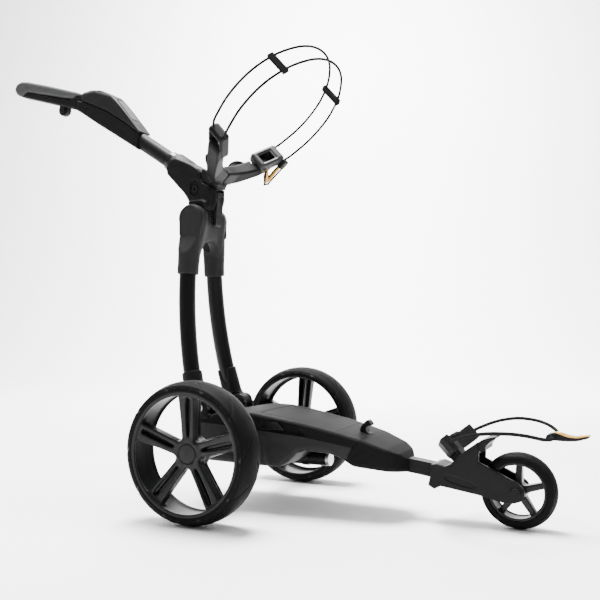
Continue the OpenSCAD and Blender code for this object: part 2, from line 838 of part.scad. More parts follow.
module speed_dial() {
    color(black) placed() {
        rod(dial_x, dial_z, dial_r, -8, 8);
        rod(dial_x, dial_z, 3, -12, 12);
    }
}

lower_shell();
upper_shell();
nose_cover();
side_inserts();
axle_tubes();
axle_bearings();
gearbox_housing();
motor();
controller_box();
battery_connector();
post_brackets();
post_hinge_pins();
front_arm();
fork();
bag_shelf();
lower_cradle();
front_axle();
lower_strap_right();
lower_strap_left();
lower_strap_hook();
battery_case();
battery_lid();
battery_latch();
drive_shaft();
drive_gear();
motor_pinion();
rim_right();
rim_left();
tyre_right();
tyre_left();
hub_cap_right();
hub_cap_left();
front_rim();
front_tyre();
front_bearings();
post_right();
post_left();
lower_sleeves();
yoke();
ear_covers();
pivot_pin();
folding_neck();
accessory_insert();
stem_collar();
stem_tube();
fold_lever();
upper_cradle();
strap_pad_right();
strap_pad_left();
upper_strap_high();
upper_strap_low();
strap_bands();
upper_strap_hook();
console_lower();
console_cover();
display_screen();
status_panel();
grip_core();
grip_cover();
speed_dial();
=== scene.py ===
"""Looks of the golf trolley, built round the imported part. Lengths below are in millimetres about the
foot of the rear axle, X forward, Y left, Z up, and to_m() puts them in the part's frame in metres."""
import json
import math
import bpy
import numpy as np
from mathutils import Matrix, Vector


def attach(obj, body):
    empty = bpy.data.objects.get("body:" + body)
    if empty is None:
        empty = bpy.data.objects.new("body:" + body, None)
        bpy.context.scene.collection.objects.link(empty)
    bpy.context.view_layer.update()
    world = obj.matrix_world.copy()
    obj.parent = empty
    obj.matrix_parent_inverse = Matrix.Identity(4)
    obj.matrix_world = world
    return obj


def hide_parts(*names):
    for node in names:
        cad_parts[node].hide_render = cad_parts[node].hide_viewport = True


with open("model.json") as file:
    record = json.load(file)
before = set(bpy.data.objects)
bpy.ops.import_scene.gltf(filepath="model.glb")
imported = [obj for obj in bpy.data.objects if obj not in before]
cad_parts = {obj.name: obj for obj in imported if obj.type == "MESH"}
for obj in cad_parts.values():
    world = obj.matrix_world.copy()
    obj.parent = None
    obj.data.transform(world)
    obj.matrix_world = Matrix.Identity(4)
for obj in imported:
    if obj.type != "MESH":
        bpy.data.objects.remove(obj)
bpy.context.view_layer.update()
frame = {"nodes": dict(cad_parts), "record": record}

AXLE_X = 26.0
NODES = frame["nodes"]


def to_m(points):
    p = np.asarray(points, float).reshape(-1, 3) + (AXLE_X, 0, 0)
    return p / 1000.0


# ---------- camera ----------
# Degrees round and up. The floor is turned with the view.
VIEW_TURN, VIEW_TILT = 25.8, 1.25
cam_data = bpy.data.cameras.new("camera")
cam_data.lens = 50
cam_data.sensor_width = 36
cam = bpy.data.objects.new("camera", cam_data)
bpy.context.scene.collection.objects.link(cam)
cam.location = (0.946 + AXLE_X / 1000, -1.711, 0.4235)
cam.rotation_euler = (math.radians(90 + VIEW_TILT), 0, math.radians(VIEW_TURN))
bpy.context.scene.camera = cam

# ---------- materials ----------


def material(name, base, rough, grain=600.0, bump=0.15, vary=0.12, metallic=0.0, coat=0.0, weave=0.0,
             spec=0.5):
    """Procedural finish: colour and roughness vary slowly over the object, and a fine grain roughens it"""
    m = bpy.data.materials.new(name)
    m.use_nodes = True
    nt = m.node_tree
    bsdf = nt.nodes["Principled BSDF"]
    coord = nt.nodes.new("ShaderNodeTexCoord")
    slow = nt.nodes.new("ShaderNodeTexNoise")
    slow.inputs["Scale"].default_value = 9.0
    slow.inputs["Detail"].default_value = 4.0
    fine = nt.nodes.new("ShaderNodeTexNoise")
    fine.inputs["Scale"].default_value = grain
    fine.inputs["Detail"].default_value = 3.0
    nt.links.new(coord.outputs["Object"], slow.inputs["Vector"])
    nt.links.new(coord.outputs["Object"], fine.inputs["Vector"])
    ramp = nt.nodes.new("ShaderNodeMix")
    ramp.data_type = "RGBA"
    ramp.inputs[6].default_value = (*[c * (1 - vary) for c in base], 1)
    ramp.inputs[7].default_value = (*[min(1, c * (1 + vary)) for c in base], 1)
    nt.links.new(slow.outputs["Fac"], ramp.inputs[0])
    nt.links.new(ramp.outputs[2], bsdf.inputs["Base Color"])
    span = nt.nodes.new("ShaderNodeMapRange")
    span.inputs["To Min"].default_value = max(0.03, rough - 0.06)
    span.inputs["To Max"].default_value = rough + 0.06
    nt.links.new(slow.outputs["Fac"], span.inputs["Value"])
    nt.links.new(span.outputs["Result"], bsdf.inputs["Roughness"])
    height = fine.outputs["Fac"]
    if weave:
        wave = nt.nodes.new("ShaderNodeTexWave")
        wave.inputs["Scale"].default_value = weave
        wave.inputs["Distortion"].default_value = 1.5
        wave.bands_direction = "DIAGONAL"
        nt.links.new(coord.outputs["Object"], wave.inputs["Vector"])
        height = wave.outputs["Fac"]
    b = nt.nodes.new("ShaderNodeBump")
    b.inputs["Strength"].default_value = bump
    b.inputs["Distance"].default_value = 0.0004
    nt.links.new(height, b.inputs["Height"])
    nt.links.new(b.outputs["Normal"], bsdf.inputs["Normal"])
    bsdf.inputs["Metallic"].default_value = metallic
    bsdf.inputs["Specular IOR Level"].default_value = spec
    bsdf.inputs["Coat Weight"].default_value = coat
    bsdf.inputs["Coat Roughness"].default_value = 0.15
    return m


MAT = {
    "casting": material("casting", (0.010, 0.010, 0.0102), 0.5, spec=0.1),
    "shell": material("shell", (0.006, 0.006, 0.0062), 0.55, bump=0.06, spec=0.012),
    "insert": material("insert", (0.006, 0.006, 0.0063), 0.2, bump=0.04, spec=0.25),
    "frame_black": material("frame_black", (0.0065, 0.0065, 0.0067), 0.47, spec=0.06),
    "yoke_grey": material("yoke_grey", (0.0125, 0.0125, 0.0128), 0.52, bump=0.1, spec=0.08),
    "tube_black": material("tube_black", (0.003, 0.003, 0.0031), 0.32, bump=0.04, spec=0.12),
    "steel": material("steel", (0.42, 0.42, 0.44), 0.32, metallic=1.0, bump=0.05),
    "rim": material("rim", (0.007, 0.007, 0.0072), 0.34, bump=0.06, spec=0.12),
    "rubber": material("rubber", (0.0035, 0.0035, 0.0036), 0.58, bump=0.3, spec=0.03),
    "grip": material("grip", (0.046, 0.046, 0.047), 0.55, bump=0.2, spec=0.12),
    "cord": material("cord", (0.010, 0.010, 0.0103), 0.7, bump=0.06, weave=160.0, spec=0.0),
    "hook": material("hook", (0.60, 0.31, 0.03), 0.35, bump=0.05),
    "screen": material("screen", (0.008, 0.008, 0.009), 0.12, bump=0.0, spec=0.3),
    "panel": material("panel", (0.020, 0.020, 0.0205), 0.3, bump=0.05, spec=0.2),
    # pad: lighter shade used only on the far strap pad; the near pad is drawn darker in frame_black, and the
    # difference between the two is painted light and shade
    "pad": material("pad", (0.024, 0.024, 0.0245), 0.4, bump=0.08, spec=0.15),
}

# ---------- mesh helpers ----------


def add_mesh(name, verts, faces, mat, body, replaces=(), smooth=True, in_metres=False):
    me = bpy.data.meshes.new(name)
    co = np.asarray(verts, float) if in_metres else to_m(verts)
    me.from_pydata(co.tolist(), [], [list(map(int, f)) for f in faces])
    me.validate()
    me.update()
    if smooth:
        me.shade_smooth()
    ob = bpy.data.objects.new(name, me)
    bpy.context.scene.collection.objects.link(ob)
    ob.data.materials.append(MAT[mat])
    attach(ob, body)
    if replaces:
        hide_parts(*replaces)
    return ob


def nets(f, lo, hi, h, steps=4):
    """Surface where f is zero, as vertices drawn on to it and quads, from a grid of step h"""
    lo, hi = np.array(lo, float), np.array(hi, float)
    n = np.ceil((hi - lo) / h).astype(int) + 1
    axes = [lo[i] + h * np.arange(n[i]) for i in range(3)]
    D = f(*np.meshgrid(*axes, indexing="ij"))
    S = D < 0
    corners = [(a, b, c) for a in (0, 1) for b in (0, 1) for c in (0, 1)]
    cut = [slice(0, -1), slice(1, None)]
    count = sum(S[cut[a], cut[b], cut[c]].astype(np.int8) for a, b, c in corners)
    mask = (count > 0) & (count < 8)
    ids = np.full(mask.shape, -1)
    ids[mask] = np.arange(mask.sum())
    I = np.argwhere(mask)
    acc, num = np.zeros(I.shape), np.zeros(len(I))
    for a in corners:
        for ax in range(3):
            if a[ax]:
                continue
            b = list(a)
            b[ax] = 1
            A, B = I + a, I + b
            da, db = D[tuple(A.T)], D[tuple(B.T)]
            cross = (da < 0) != (db < 0)
            t = np.where(cross, da / np.where(cross, da - db, 1), 0)
            acc += cross[:, None] * (A + t[:, None] * (B - A))
            num += cross
    V = lo + h * acc / num[:, None]
    e = h * 0.2
    for _ in range(steps):
        x, y, z = V.T
        g = np.stack([
            f(x + e, y, z) - f(x - e, y, z), f(x, y + e, z) - f(x, y - e, z),
            f(x, y, z + e) - f(x, y, z - e),
        ], 1) / (2 * e)
        move = -f(x, y, z)[:, None] * g / np.maximum((g ** 2).sum(1), 0.2)[:, None]
        V = V + np.clip(move, -0.4 * h, 0.4 * h)
    faces = []
    for a in range(3):
        b, c = (a + 1) % 3, (a + 2) % 3
        near = [slice(None)] * 3
        far = [slice(None)] * 3
        near[a], far[a] = slice(0, -1), slice(1, None)
        E = np.argwhere(S[tuple(near)] != S[tuple(far)])
        E = E[(E[:, b] > 0) & (E[:, b] < n[b] - 1) & (E[:, c] > 0) & (E[:, c] < n[c] - 1)]
        eb, ec = np.eye(3, dtype=int)[b], np.eye(3, dtype=int)[c]
        q = np.stack([ids[tuple((E - o).T)] for o in (eb + ec, ec, 0 * eb, eb)], 1)
        out = S[tuple(E.T)]
        faces += [q[out], q[~out][:, ::-1]]
    return V, np.concatenate(faces)


def solid(name, f, lo, hi, h, mat, body, replaces=(), mirror=False):
    V, F = nets(f, lo, hi, h)
    if mirror:
        W = V * (1, -1, 1)
        V, F = np.concatenate([V, W]), np.concatenate([F, F[:, ::-1] + len(V)])
    return add_mesh(name, V, F, mat, body, replaces)


def smin(a, b, k):
    t = np.clip(0.5 + 0.5 * (b - a) / k, 0, 1)
    return b * (1 - t) + a * t - k * t * (1 - t)


def smax(a, b, k):
    return -smin(-a, -b, k)


def rounded(a, b, r):
    """Both a and b, with an edge of radius r between them"""
    a, b = a + r, b + r
    return np.minimum(np.maximum(a, b), 0) + np.hypot(np.maximum(a, 0), np.maximum(b, 0)) - r


def poly(px, py, pts):
    pts = np.asarray(pts, float)
    d = np.full(px.shape, 1e9)
    s = np.ones(px.shape)
    for i in range(len(pts)):
        a, b = pts[i], pts[i - 1]
        ex, ey = b - a
        wx, wy = px - a[0], py - a[1]
        t = np.clip((wx * ex + wy * ey) / (ex * ex + ey * ey), 0, 1)
        d = np.minimum(d, (wx - ex * t) ** 2 + (wy - ey * t) ** 2)
        c1, c2, c3 = py >= a[1], py < b[1], ex * wy > ey * wx
        s = np.where((c1 & c2 & c3) | (~c1 & ~c2 & ~c3), -s, s)
    return s * np.sqrt(d)


def soft_corners(pts, rounds=2):
    """Cuts the corners of an outline until it looks drawn with a curve"""
    p = np.asarray(pts, float)
    for _ in range(rounds):
        q = np.roll(p, -1, 0)
        p = np.stack([0.8 * p + 0.2 * q, 0.2 * p + 0.8 * q], 1).reshape(-1, 2)
    return p


def prism(x, y, z, pts, y0, y1, r):
    return rounded(poly(x, z, pts), np.abs(y - (y0 + y1) / 2) - (y1 - y0) / 2, r)


def capsule(x, y, z, a, b, ra, rb=None):
    a, b = np.asarray(a, float), np.asarray(b, float)
    rb = ra if rb is None else rb
    d = b - a
    px, py, pz = x - a[0], y - a[1], z - a[2]
    t = np.clip((px * d[0] + py * d[1] + pz * d[2]) / (d @ d), 0, 1)
    return np.sqrt((px - t * d[0]) ** 2 + (py - t * d[1]) ** 2 + (pz - t * d[2]) ** 2) - ra - (rb - ra) * t


def chain(x, y, z, pts, radii, k=3.0):
    d = None
    for i in range(len(pts) - 1):
        c = capsule(x, y, z, pts[i], pts[i + 1], radii[i], radii[i + 1])
        d = c if d is None else smin(d, c, k)
    return d


def round_y(x, y, z, cx, cz, r, y0, y1, edge=1.0):
    return rounded(np.hypot(x - cx, z - cz) - r, np.abs(y - (y0 + y1) / 2) - (y1 - y0) / 2, edge)


def box(x, y, z, c, half, r=1.0):
    q = [np.abs(v - m) - w + r for v, m, w in zip((x, y, z), c, half)]
    outside = np.sqrt(sum(np.maximum(v, 0) ** 2 for v in q))
    return outside + np.minimum(np.maximum(np.maximum(q[0], q[1]), q[2]), 0) - r


def lathe(profile, n, centre, shape=None):
    """Profile of (radius, y) turned about the Y axis through a centre. shape may move the points."""
    p = np.asarray(profile, float)
    t = np.arange(n) * 2 * math.pi / n
    T, K = np.meshgrid(t, np.arange(len(p)), indexing="ij")
    R, Y = p[K, 0], p[K, 1]
    if shape:
        R, Y = shape(T, R, Y)
    V = np.stack([centre[0] + R * np.cos(T), centre[1] + Y, centre[2] + R * np.sin(T)], -1).reshape(-1, 3)
    m = len(p)
    F = [(i * m + k, i * m + (k + 1) % m, ((i + 1) % n) * m + (k + 1) % m, ((i + 1) % n) * m + k)
         for i in range(n) for k in range(m)]
    return V, np.array(F)


def along(points, count):
    """Smooth curve through the points, evenly walked"""
    p = np.asarray(points, float)
    q = np.vstack([2 * p[0] - p[1], p, 2 * p[-1] - p[-2]])
    out = []
    for i in range(len(p) - 1):
        a, b, c, d = q[i:i + 4]
        for t in np.linspace(0, 1, 24, endpoint=False):
            out.append(0.5 * (2 * b + (c - a) * t + (2 * a - 5 * b + 4 * c - d) * t * t
                              + (3 * b - a - 3 * c + d) * t ** 3))
    out = np.array(out + [p[-1]])
    s = np.r_[0, np.cumsum(np.linalg.norm(np.diff(out, axis=0), axis=1))]
    return np.stack([np.interp(np.linspace(0, s[-1], count), s, out[:, k]) for k in range(3)], 1), s[-1]


def tube(name, points, r, mat, body, replaces=(), sides=16, count=160):
    """Cord swept along a smooth curve, its ends rounded"""
    p, length = along(points, count)
    tan = np.gradient(p, axis=0)
    tan /= np.linalg.norm(tan, axis=1)[:, None]
    u = np.cross(tan[0], (0.1, 0.2, 1.0))
    V = []
    for i in range(count):
        u = u - (u @ tan[i]) * tan[i]
        u /= np.linalg.norm(u)
        v = np.cross(tan[i], u)
        a = np.arange(sides) * 2 * math.pi / sides
        end = min(i, count - 1 - i)
        rr = r * (0.55, 0.85)[end] if end < 2 else r
        V.append(p[i] + rr * (np.cos(a)[:, None] * u + np.sin(a)[:, None] * v))
    V = np.array(V).reshape(-1, 3)
    F = [(i * sides + k, i * sides + (k + 1) % sides, (i + 1) * sides + (k + 1) % sides,
          (i + 1) * sides + k)
         for i in range(count - 1) for k in range(sides)]
    F += [tuple(range(sides))[::-1], tuple((count - 1) * sides + k for k in range(sides))]
    return add_mesh(name, V, F, mat, body, replaces), p, length


# ---------- straps ----------
TILT = math.radians(42.2)


def from_cradle(p):
    """Side, up along the bag and away from the trolley, to the part's axes"""
    p = np.asarray(p, float).reshape(-1, 3)
    s, v, n = p.T
    return np.stack([v * math.cos(TILT) - n * math.sin(TILT), -s, v * math.sin(TILT) + n * math.cos(TILT)],
                    1)


def in_cradle(x, y, z):
    return -y, x * math.cos(TILT) + z * math.sin(TILT), -x * math.sin(TILT) + z * math.cos(TILT)


half_route = [
    (140.5, 552.2), (146, 557), (154, 567), (163, 590), (172, 620), (175, 650), (173, 680), (165, 710),
    (151, 737), (132, 762), (108, 783), (80, 801), (50, 813), (17, 819),
]
upper_route = [(-a, b) for a, b in half_route] + half_route[::-1]
UPPER_CORD_D, LOWER_CORD_D = 5.6, 7.2
for name, level in (("upper_cord_high", 648), ("upper_cord_low", 604)):
    ob, path, length = tube(name, from_cradle([(a, b, level) for a, b in upper_route]), UPPER_CORD_D / 2,
                            "cord", "upper_frame",
                            ["upper_strap_high" if level > 626 else "upper_strap_low"], count=240)
lower_route = [
    (492, -88, 178), (503, -104, 184), (517, -119, 190), (533, -130, 196), (552, -136, 201),
    (575, -137, 205),
    (597, -132, 206), (620, -121, 205), (640, -109, 202), (655, -97, 198), (668, -80, 193), (676, -60, 190),
    (679, -38, 188), (678, -20, 188), (672, -11, 188),
]
for name, side in (("lower_cord_right", 1), ("lower_cord_left", -1)):
    ob, path, length = tube(name, [(a, side * b, c) for a, b, c in lower_route], LOWER_CORD_D / 2, "cord",
                            "chassis", ["lower_strap_right" if side > 0 else "lower_strap_left"], count=160)

# ---------- wheels ----------


def tyre_profile(r, bead, w, crown):
    """Tread crowned across its width, round shoulders and a sidewall with a raised bead"""
    top = [(r - crown * t ** 2.4, t * (w / 2 - 7)) for t in np.linspace(0, 1, 16)]
    r1, y1 = top[-1]
    turn = [(r1 - 7 + 7 * math.cos(a) - 5 * (1 - math.cos(a)), y1 + 7 * math.sin(a))
            for a in np.linspace(0.25, 1.5, 7)]
    wall = [(r1 - 15, w / 2), (bead + 8, w / 2 - 0.4), (bead + 6.5, w / 2 - 1.6), (bead + 5, w / 2 - 0.6),
            (bead + 1.5, w / 2 - 1.2), (bead, w / 2 - 4)]
    wall = [q for q in wall if q[0] < turn[-1][0] - 0.5]
    half = top + turn + wall
    return [(a, -b) for a, b in half[:0:-1]] + half


def tread(r, w, count, deep):
    """Slanted grooves across the tread, sparse, and small notches on the shoulders"""
    def shape(T, R, Y):
        s = np.abs(Y) / (w / 2)
        arc = (T + np.where(Y > 0, math.pi / count, 0)) * count / (2 * math.pi)
        lean = arc + 0.55 * s - np.floor(arc + 0.55 * s) - 0.5
        groove = np.exp(-(lean * 2 * math.pi * r / count / 2.2) ** 2) * ((s > 0.18) & (s < 0.86) & (R > r - 14))
        notch = np.exp(-(lean * 2 * math.pi * r / count / 4.0) ** 2) * ((s >= 0.86) & (R > r - 20))
        return R - deep * groove - 0.8 * deep * notch, Y
    return shape


def rear_tyre(name, side, node):
    V, F = lathe(tyre_profile(147.6, 135.5, 77, 6.5), 540, (0, side * 261, 148), tread(148, 78, 10, 1.8))
    add_mesh(name, V, F, "rubber", "rear_wheels", [node])


rear_tyre("tyre_near", -1, "tyre_right")
rear_tyre("tyre_far", 1, "tyre_left")
V, F = lathe(tyre_profile(76.8, 60.5, 45.4, 4.0), 360, (609, 0, 77), tread(77, 46, 8, 1.2))
add_mesh("tyre_front", V, F, "rubber", "front_wheel", ["front_tyre"])


def turned(x, z, a):
    c, s = math.cos(a), math.sin(a)
    return x * c + z * s, -x * s + z * c


def rear_rim(x, y, z):
    """Outer face towards -Y, centre at the origin"""
    rr = np.hypot(x, z)
    lip = np.minimum(rounded(np.abs(rr - 128) - 8.5, np.abs(y + 34.5) - 3.4, 2.2),
                     rounded(np.abs(rr - 130) - 7, np.abs(y - 34.5) - 3.4, 2.2))
    barrel = np.maximum(np.abs(rr - 127.5 - 0.0006 * (y - 4) ** 2) - 1.8, np.abs(y) - 37)
    d = smin(lip, barrel, 3)
    dish = -13 - 0.10 * (rr - 20)
    for k in range(5):
        px, pz = turned(x, z, math.radians(88 + 72 * k))
        bar = poly(px, pz, [(10, -13), (60, -14.5), (126, -18), (126, 20), (60, 15.5), (10, 14)])
        slot = poly(px, pz, soft_corners([(34, -4.5), (108, -11), (115, -5), (113, 3), (36, 4)], 2))
        deep = smax(np.abs(y - dish - 3) - 9 - 0.03 * (rr - 20), bar, 3.5)
        gap = smax(slot, np.abs(y - dish + 6) - 12, 2)
        spoke = smax(deep, -gap, 2.5)
        web = smax(np.abs(y - dish - 16) - 18,
                   np.abs(poly(px, pz, [(10, -5), (120, -9), (120, 9), (10, 5)]) + 1) - 2, 1)
        d = smin(d, np.minimum(spoke, smax(web, rr - 124, 1)), 6)
    hub = rounded(rr - 30, np.abs(y - 4) - 22, 4)
    d = smin(d, hub, 8)
    d = smax(d, -rounded(rr - 20.4, np.abs(y + 40) - 30.6, 0.6), 1.2)
    d = smax(d, -(rr - 6.1), 0.5)
    return smax(d, rr - 135.3, 0.5)


V, F = nets(rear_rim, (-138, -40, -138), (138, 40, 138), 1.7)
near = V + (0, -261, 148)
add_mesh("rim_near", near, F, "rim", "rear_wheels", ["rim_right"])
add_mesh("rim_far", near * (1, -1, 1), F[:, ::-1], "rim", "rear_wheels", ["rim_left"])


def front_rim(x, y, z):
    rr = np.hypot(x, z)
    a = np.abs(y)
    lip = rounded(np.abs(rr - 57) - 4, np.abs(a - 19.5) - 1.8, 1.2)
    barrel = np.maximum(np.abs(rr - 56.5) - 1.6, a - 21)
    d = smin(lip, barrel, 2)
    for k in range(5):
        px, pz = turned(x, z, math.radians(88 + 72 * k))
        bar = poly(px, pz, [(8, -7.5), (56, -6), (56, 6), (8, 7.5)])
        d = smin(d, smax(bar, a - 13 + 0.07 * rr, 3), 4)
    d = smin(d, rounded(rr - 16.5, a - 17, 2), 4)
    d = smax(d, -rounded(rr - 11.05, np.abs(a - 17) - 7, 0.3), 0.6)
    return smax(smax(d, -(rr - 6), 0.5), rr - 60.4, 0.3)


V, F = nets(front_rim, (-63, -23, -63), (63, 23, 63), 1.1)
add_mesh("rim_front", V + (609, 0, 77), F, "rim", "front_wheel", ["front_rim"])

# ---------- body ----------
deck = [(-105, 200), (-56, 202), (-44, 208), (0, 216), (50, 215), (100, 208), (150, 200), (200, 191),
        (250, 180), (300, 167), (350, 149), (372, 138), (384, 124)]
seam = [(-105, 190), (0, 185), (66, 179), (175, 169), (275, 153), (324, 141), (366, 132), (384, 122)]
plan = [(-105, 94), (-96, 106), (0, 110), (100, 108), (150, 102), (200, 97), (250, 92), (300, 86),
        (350, 72), (368, 54), (379, 34), (384, 16)]
keel = [(-105, 136), (-97, 118), (-80, 103), (116, 101), (136, 113), (156, 132), (176, 139), (229, 136),
        (246, 131), (264, 122), (280, 112), (350, 103), (384, 99)]


def line(table):
    t = np.array(table, float)
    return lambda x: np.interp(x, t[:, 0], t[:, 1])


deck_at, seam_at, plan_at, keel_at = line(deck), line(seam), line(plan), line(keel)


def body_ring(x, t):
    """One side of the body at station x: t runs from the middle of the keel, round the flank, to the
    middle of the deck. 0.4 is the seam between the shells."""
    hw, zd, zs, zk = plan_at(x), deck_at(x), seam_at(x), keel_at(x)
    foot = min(12.0, 0.4 * (zs - zk))
    edge = min(7.0, 0.45 * (zd - zs) + 0.5)
    inner = hw - edge
    rim = min(79.0, 0.8 * inner)
    if t < 0.2:
        y, z = (hw - foot) * t / 0.2, zk
    elif t < 0.3:
        a = (t - 0.2) / 0.1 * math.pi / 2
        y, z = hw - foot + foot * math.sin(a), zk + foot * (1 - math.cos(a))
    elif t < 0.4:
        y, z = hw, zk + foot + (zs - zk - foot) * (t - 0.3) / 0.1
    elif t < 0.5:
        y, z = hw, zs + (zd - edge - zs) * (t - 0.4) / 0.1
    elif t < 0.6:
        a = (t - 0.5) / 0.1 * math.pi / 2
        y, z = hw - edge + edge * math.cos(a), zd - edge + edge * math.sin(a)
    elif t < 0.76:
        y, z = inner + (rim - inner) * (t - 0.6) / 0.16, zd
    else:
        y, z = rim * (1 - (t - 0.76) / 0.24), zd
    if t >= 0.6:
        z += 2.0 * min(1, hw / 90) * (1 - (y / hw) ** 2)
    if 0.4 < t < 0.52:
        one = np.array([0.0])
        hole = poly(one + x, one + z, SCOOP)[0]
        y -= 6.5 * min(1, max(0, 0.4 - hole / 3.5))
    if 0.25 < t < 0.4:
        y += 3.0 * min(1, max(0, (27 - math.hypot(x - 112, z - 124)) / 5))
    return y, z


SCOOP = [(66, 203), (112, 202), (156, 196), (178, 171), (146, 175), (62, 177)]


def skin(name, xs, ts, mat, body, replaces=(), slant=0.0, x_front=None, caps=(False, False), skip=None):
    """Part of the body's outside as a skin with thickness. slant leans the joint with the nose back
    down the flanks."""
    whole = ts[-1] == 1.0
    ring = list(ts) + (list(ts[::-1][1:]) if whole else [])
    closed = ts[0] == 0.0
    m = len(ring)
    sides = [1] * len(ts) + [-1] * (m - len(ts))
    if not whole:
        ring, sides = list(ts) + list(ts[::-1]), [1] * len(ts) + [-1] * len(ts)
        m = len(ring)
        if closed:
            ring, sides = list(ts[::-1]) + list(ts[1:]), [1] * len(ts) + [-1] * (len(ts) - 1)
            m = len(ring)
    rows = []
    stations = [(x, 1.0) for x in xs]
    if caps[0]:
        stations = [(xs[0], 0.02), (xs[0], 0.5), (xs[0], 0.97)] + stations
    if caps[1]:
        stations = stations + [(xs[-1], 0.97), (xs[-1], 0.5), (xs[-1], 0.02)]
    for x0, grow in stations:
        if x_front is None:
            w = 0
        elif xs[-1] <= x_front:
            w = max(0, (x0 - (x_front - 47)) / 47)
        else:
            w = max(0, 1 - (x0 - x_front) / 60)
        row = []
        zc = 0.5 * (body_ring(x0, ts[0])[1] + body_ring(x0, ts[-1])[1])
        for t, s in zip(ring, sides):
            low = min(1, max(0, (0.56 - t) / 0.36))
            x = x0 - slant * low * w
            y, z = body_ring(x, t)
            row.append((x, s * y * grow, zc + (z - zc) * grow))
        rows.append(row)
    V = [p for row in rows for p in row]
    F = []
    wrap = m if (closed and whole) else m - 1
    for i in range(len(rows) - 1):
        for j in range(wrap):
            k = (j + 1) % m
            mid = [0.25 * (rows[i][j][a] + rows[i][k][a] + rows[i + 1][j][a] + rows[i + 1][k][a])
                   for a in range(3)]
            if skip and skip(mid, 0.5 * (ring[j] + ring[k])):
                continue
            F.append((i * m + j, i * m + k, (i + 1) * m + k, (i + 1) * m + j))
    ob = add_mesh(name, V, F, mat, body, replaces)
    me = ob.data
    import bmesh
    bm = bmesh.new()
    bm.from_mesh(me)
    bmesh.ops.remove_doubles(bm, verts=bm.verts, dist=1e-5)
    bmesh.ops.recalc_face_normals(bm, faces=bm.faces)
    up = sum(f.normal.z * f.calc_area() for f in bm.faces if f.calc_center_median().z > 0.17)
    side = sum(f.normal.y * f.calc_area() * (1 if f.calc_center_median().y > 0 else -1) for f in bm.faces)
    if (side if not whole else up) < 0:
        bmesh.ops.reverse_faces(bm, faces=bm.faces)
    bm.to_mesh(me)
    bm.free()
    me.shade_smooth()
    s = ob.modifiers.new("thickness", "SOLIDIFY")
    s.thickness = 0.0024
    s.offset = -1
    bv = ob.modifiers.new("edges", "BEVEL")
    bv.width = 0.0007
    bv.segments = 2
    bv.limit_method = "ANGLE"
    bv.angle_limit = math.radians(55)
    wn = ob.modifiers.new("normals", "WEIGHTED_NORMAL")
    wn.keep_sharp = True
    return ob


def steps(*marks, near=4.0):
    out = [marks[0]]
    for a, b in zip(marks, marks[1:]):
        n = max(1, int(round((b - a) / near)))
        out += list(np.linspace(a, b, n + 1)[1:])
    return out


T_UP = steps(0.4, 0.5, near=0.0125) + steps(0.5, 0.6, near=0.0167)[1:] + steps(0.6, 0.76, near=0.04)[1:] + \
    steps(0.76, 1.0, near=0.03)[1:]
T_LOW = steps(0.0, 0.2, near=0.05) + steps(0.2, 0.3, near=0.0143)[1:] + steps(0.3, 0.4, near=0.0125)[1:]
over_bay = lambda mid, t: 60 < mid[0] < 241 and t > 0.76
skin("upper_body", steps(-105, -56, -44, 0, 60, 241, 250, 296.5), T_UP, "shell", "chassis",
     ["upper_shell"], slant=36, x_front=296.5, caps=(True, False), skip=over_bay)
skin("lower_body", steps(-105, -97, -80, 0, 100, 116, 136, 156, 176, 229, 246, 264, 280, 296.5), T_LOW,
     "casting", "chassis", ["lower_shell"], slant=36, x_front=296.5, caps=(True, False))
skin("nose", steps(297.3, 350, 372, 384), T_LOW + T_UP[1:], "shell", "chassis", ["nose_cover"], slant=36,
     x_front=297.3, caps=(False, True))

lid_x = steps(60.9, 240.2, near=5)
lid_y = steps(-78.2, 78.2, near=6)
V = [(x, y, deck_at(x) - 0.2 + 2.0 * min(1, plan_at(x) / 90) * (1 - (y / plan_at(x)) ** 2))
     for x in lid_x for y in lid_y]
n = len(lid_y)
F = [(i * n + j, (i + 1) * n + j, (i + 1) * n + j + 1,
      i * n + j + 1) for i in range(len(lid_x) - 1) for j in range(n - 1)]
lid = add_mesh("battery_panel", V, F, "shell", "battery", ["battery_lid"])
s = lid.modifiers.new("thickness", "SOLIDIFY")
s.thickness, s.offset = 0.005, -1
bv = lid.modifiers.new("edges", "BEVEL")
bv.width, bv.segments, bv.limit_method = 0.0008, 3, "ANGLE"

# Grey panel at the rear of each scoop
for name, sgn in (("scoop_panel_near", -1), ("scoop_panel_far", 1)):
    P = [(67, 179.5), (131, 182.5), (114, 200.5), (70, 201)]
    solid(name, lambda x, y, z: prism(x, y, z, P, sgn * 103.4 - 1.5, sgn * 103.4 + 2.4, 1.0),
          (62, sgn * 104 - 5, 174), (136, sgn * 104 + 5, 206), 1.0, "insert", "chassis", ["side_inserts"])


def barrel(x, y, z):
    """Cover of the motor under the deck"""
    r = np.hypot(y - 16, z - 107.5)
    d = rounded(r - 17, np.abs(x - 138) - 44, 2)
    strap_ring = rounded(r - 18.6, np.abs(x - 128) - 8, 1)
    return np.minimum(d, strap_ring)


solid("motor_barrel", barrel, (90, -5, 86), (186, 37, 130), 1.1, "tube_black", "chassis")
solid("motor_cap", lambda x, y, z: rounded(np.hypot(y - 16, z - 107.5) - 16.4, np.abs(x - 184) - 5, 1.5),
      (176, -4, 87), (192, 36, 129), 0.9, "steel", "chassis")


def latch(x, y, z):
    tab = [(-9, 15), (-5, 24), (7, 36), (10, 35.5), (17, 27), (15.5, 23), (8, 25), (4.5, 20), (5.5, 11),
           (14, 6), (13, 2.5), (3, -4), (-4, -4), (-8, 4)]
    d = prism(x - 278, y, z - 166, soft_corners(tab, 1), -11, 11, 1.5)
    return np.minimum(d, round_y(x, y, z, 278, 166, 3.4, -15.8, 15.8, 0.4))


solid("battery_catch", latch, (264, -18, 158), (299, 18, 205), 0.9, "frame_black", "latch",
      ["battery_latch"])


